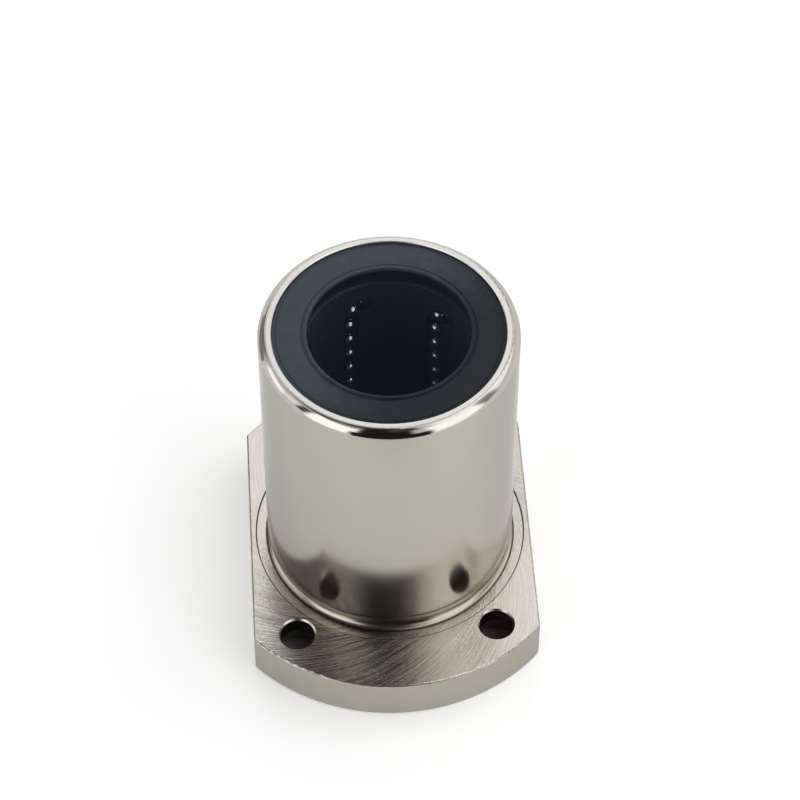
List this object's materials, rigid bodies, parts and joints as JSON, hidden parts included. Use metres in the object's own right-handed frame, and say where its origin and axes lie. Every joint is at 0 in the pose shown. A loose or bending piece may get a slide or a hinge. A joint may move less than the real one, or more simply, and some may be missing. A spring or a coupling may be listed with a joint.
{
  "type": "flanged linear bearing",
  "caption": "Flanged linear ball bearing: a ground steel cylinder on a flat-sided bolt flange, with recirculating balls in a cage and a wiping seal at each end; guides a round shaft.",
  "frame": {"origin": "on the shaft axis, at the flange's outer face, which the bearing stands on", "axes": "+Z along the shaft axis, from the flange to the free end; +X square to the flange's flats; +Y along them"},
  "size_m": [0.046, 0.062, 0.059],
  "materials": {
    "nickel_plated_steel": "satin nickel plate, ground on the body and swirl-brushed on the flange",
    "retainer_resin": "moulded, satin",
    "ring_steel": "stamped and blackened, dull",
    "seal_rubber": "moulded, matt",
    "ball_steel": "polished"
  },
  "bodies": {
    "housing": {"flanged_outer_cylinder": "nickel_plated_steel", "ball_retainer": "retainer_resin", "upper_end_ring": "ring_steel", "lower_end_ring": "ring_steel", "upper_seal": "seal_rubber", "lower_seal": "seal_rubber"},
    "circuit_1_loaded_run": {"circuit_1_loaded_balls": "ball_steel"},
    "circuit_1_return_run": {"circuit_1_return_balls": "ball_steel"},
    "circuit_1_upper_turn_run": {"circuit_1_upper_turn_balls": "ball_steel"},
    "circuit_1_lower_turn_run": {"circuit_1_lower_turn_balls": "ball_steel"},
    "circuit_2_loaded_run": {"circuit_2_loaded_balls": "ball_steel"},
    "circuit_2_return_run": {"circuit_2_return_balls": "ball_steel"},
    "circuit_2_upper_turn_run": {"circuit_2_upper_turn_balls": "ball_steel"},
    "circuit_2_lower_turn_run": {"circuit_2_lower_turn_balls": "ball_steel"},
    "circuit_3_loaded_run": {"circuit_3_loaded_balls": "ball_steel"},
    "circuit_3_return_run": {"circuit_3_return_balls": "ball_steel"},
    "circuit_3_upper_turn_run": {"circuit_3_upper_turn_balls": "ball_steel"},
    "circuit_3_lower_turn_run": {"circuit_3_lower_turn_balls": "ball_steel"},
    "circuit_4_loaded_run": {"circuit_4_loaded_balls": "ball_steel"},
    "circuit_4_return_run": {"circuit_4_return_balls": "ball_steel"},
    "circuit_4_upper_turn_run": {"circuit_4_upper_turn_balls": "ball_steel"},
    "circuit_4_lower_turn_run": {"circuit_4_lower_turn_balls": "ball_steel"},
    "circuit_5_loaded_run": {"circuit_5_loaded_balls": "ball_steel"},
    "circuit_5_return_run": {"circuit_5_return_balls": "ball_steel"},
    "circuit_5_upper_turn_run": {"circuit_5_upper_turn_balls": "ball_steel"},
    "circuit_5_lower_turn_run": {"circuit_5_lower_turn_balls": "ball_steel"},
    "circuit_6_loaded_run": {"circuit_6_loaded_balls": "ball_steel"},
    "circuit_6_return_run": {"circuit_6_return_balls": "ball_steel"},
    "circuit_6_upper_turn_run": {"circuit_6_upper_turn_balls": "ball_steel"},
    "circuit_6_lower_turn_run": {"circuit_6_lower_turn_balls": "ball_steel"}
  },
  "joints": [
    {"name": "circuit_1_loaded_travel", "type": "slide", "parent": "housing", "child": "circuit_1_loaded_run", "axis": [0, 0, 1], "range_m": [-0.00176, 0.00176]},
    {"name": "circuit_1_return_travel", "type": "slide", "parent": "housing", "child": "circuit_1_return_run", "axis": [0, 0, 1], "range_m": [-0.00176, 0.00176]},
    {"name": "circuit_1_upper_turn_travel", "type": "hinge", "parent": "housing", "child": "circuit_1_upper_turn_run", "pos_m": [0.01096, 0.00947, 0.04709], "axis": [0.5842, 0.8116, 0], "range_deg": [-30.1, 30.1]},
    {"name": "circuit_1_lower_turn_travel", "type": "hinge", "parent": "housing", "child": "circuit_1_lower_turn_run", "pos_m": [0.01096, 0.00947, 0.01191], "axis": [0.5842, 0.8116, 0], "range_deg": [-30.1, 30.1]},
    {"name": "circuit_2_loaded_travel", "type": "slide", "parent": "housing", "child": "circuit_2_loaded_run", "axis": [0, 0, 1], "range_m": [-0.00176, 0.00176]},
    {"name": "circuit_2_return_travel", "type": "slide", "parent": "housing", "child": "circuit_2_return_run", "axis": [0, 0, 1], "range_m": [-0.00176, 0.00176]},
    {"name": "circuit_2_upper_turn_travel", "type": "hinge", "parent": "housing", "child": "circuit_2_upper_turn_run", "pos_m": [-0.00272, 0.01422, 0.04709], "axis": [-0.4107, 0.9118, 0], "range_deg": [-30.1, 30.1]},
    {"name": "circuit_2_lower_turn_travel", "type": "hinge", "parent": "housing", "child": "circuit_2_lower_turn_run", "pos_m": [-0.00272, 0.01422, 0.01191], "axis": [-0.4107, 0.9118, 0], "range_deg": [-30.1, 30.1]},
    {"name": "circuit_3_loaded_travel", "type": "slide", "parent": "housing", "child": "circuit_3_loaded_run", "axis": [0, 0, 1], "range_m": [-0.00176, 0.00176]},
    {"name": "circuit_3_return_travel", "type": "slide", "parent": "housing", "child": "circuit_3_return_run", "axis": [0, 0, 1], "range_m": [-0.00176, 0.00176]},
    {"name": "circuit_3_upper_turn_travel", "type": "hinge", "parent": "housing", "child": "circuit_3_upper_turn_run", "pos_m": [-0.01368, 0.00475, 0.04709], "axis": [-0.995, 0.1002, 0], "range_deg": [-30.1, 30.1]},
    {"name": "circuit_3_lower_turn_travel", "type": "hinge", "parent": "housing", "child": "circuit_3_lower_turn_run", "pos_m": [-0.01368, 0.00475, 0.01191], "axis": [-0.995, 0.1002, 0], "range_deg": [-30.1, 30.1]},
    {"name": "circuit_4_loaded_travel", "type": "slide", "parent": "housing", "child": "circuit_4_loaded_run", "axis": [0, 0, 1], "range_m": [-0.00176, 0.00176]},
    {"name": "circuit_4_return_travel", "type": "slide", "parent": "housing", "child": "circuit_4_return_run", "axis": [0, 0, 1], "range_m": [-0.00176, 0.00176]},
    {"name": "circuit_4_upper_turn_travel", "type": "hinge", "parent": "housing", "child": "circuit_4_upper_turn_run", "pos_m": [-0.01096, -0.00947, 0.04709], "axis": [-0.5842, -0.8116, 0], "range_deg": [-30.1, 30.1]},
    {"name": "circuit_4_lower_turn_travel", "type": "hinge", "parent": "housing", "child": "circuit_4_lower_turn_run", "pos_m": [-0.01096, -0.00947, 0.01191], "axis": [-0.5842, -0.8116, 0], "range_deg": [-30.1, 30.1]},
    {"name": "circuit_5_loaded_travel", "type": "slide", "parent": "housing", "child": "circuit_5_loaded_run", "axis": [0, 0, 1], "range_m": [-0.00176, 0.00176]},
    {"name": "circuit_5_return_travel", "type": "slide", "parent": "housing", "child": "circuit_5_return_run", "axis": [0, 0, 1], "range_m": [-0.00176, 0.00176]},
    {"name": "circuit_5_upper_turn_travel", "type": "hinge", "parent": "housing", "child": "circuit_5_upper_turn_run", "pos_m": [0.00272, -0.01422, 0.04709], "axis": [0.4107, -0.9118, 0], "range_deg": [-30.1, 30.1]},
    {"name": "circuit_5_lower_turn_travel", "type": "hinge", "parent": "housing", "child": "circuit_5_lower_turn_run", "pos_m": [0.00272, -0.01422, 0.01191], "axis": [0.4107, -0.9118, 0], "range_deg": [-30.1, 30.1]},
    {"name": "circuit_6_loaded_travel", "type": "slide", "parent": "housing", "child": "circuit_6_loaded_run", "axis": [0, 0, 1], "range_m": [-0.00176, 0.00176]},
    {"name": "circuit_6_return_travel", "type": "slide", "parent": "housing", "child": "circuit_6_return_run", "axis": [0, 0, 1], "range_m": [-0.00176, 0.00176]},
    {"name": "circuit_6_upper_turn_travel", "type": "hinge", "parent": "housing", "child": "circuit_6_upper_turn_run", "pos_m": [0.01368, -0.00475, 0.04709], "axis": [0.995, -0.1002, 0], "range_deg": [-30.1, 30.1]},
    {"name": "circuit_6_lower_turn_travel", "type": "hinge", "parent": "housing", "child": "circuit_6_lower_turn_run", "pos_m": [0.01368, -0.00475, 0.01191], "axis": [0.995, -0.1002, 0], "range_deg": [-30.1, 30.1]}
  ],
  "couplings": [
    {"joint": "circuit_1_return_travel", "follows": "circuit_1_loaded_travel", "ratio": -1},
    {"joint": "circuit_1_upper_turn_travel", "follows": "circuit_1_loaded_travel", "rad_per_m": 297.62},
    {"joint": "circuit_1_lower_turn_travel", "follows": "circuit_1_loaded_travel", "rad_per_m": 297.62},
    {"joint": "circuit_2_return_travel", "follows": "circuit_2_loaded_travel", "ratio": -1},
    {"joint": "circuit_2_upper_turn_travel", "follows": "circuit_2_loaded_travel", "rad_per_m": 297.62},
    {"joint": "circuit_2_lower_turn_travel", "follows": "circuit_2_loaded_travel", "rad_per_m": 297.62},
    {"joint": "circuit_3_return_travel", "follows": "circuit_3_loaded_travel", "ratio": -1},
    {"joint": "circuit_3_upper_turn_travel", "follows": "circuit_3_loaded_travel", "rad_per_m": 297.62},
    {"joint": "circuit_3_lower_turn_travel", "follows": "circuit_3_loaded_travel", "rad_per_m": 297.62},
    {"joint": "circuit_4_return_travel", "follows": "circuit_4_loaded_travel", "ratio": -1},
    {"joint": "circuit_4_upper_turn_travel", "follows": "circuit_4_loaded_travel", "rad_per_m": 297.62},
    {"joint": "circuit_4_lower_turn_travel", "follows": "circuit_4_loaded_travel", "rad_per_m": 297.62},
    {"joint": "circuit_5_return_travel", "follows": "circuit_5_loaded_travel", "ratio": -1},
    {"joint": "circuit_5_upper_turn_travel", "follows": "circuit_5_loaded_travel", "rad_per_m": 297.62},
    {"joint": "circuit_5_lower_turn_travel", "follows": "circuit_5_loaded_travel", "rad_per_m": 297.62},
    {"joint": "circuit_6_return_travel", "follows": "circuit_6_loaded_travel", "ratio": -1},
    {"joint": "circuit_6_upper_turn_travel", "follows": "circuit_6_loaded_travel", "rad_per_m": 297.62},
    {"joint": "circuit_6_lower_turn_travel", "follows": "circuit_6_loaded_travel", "rad_per_m": 297.62}
  ]
}
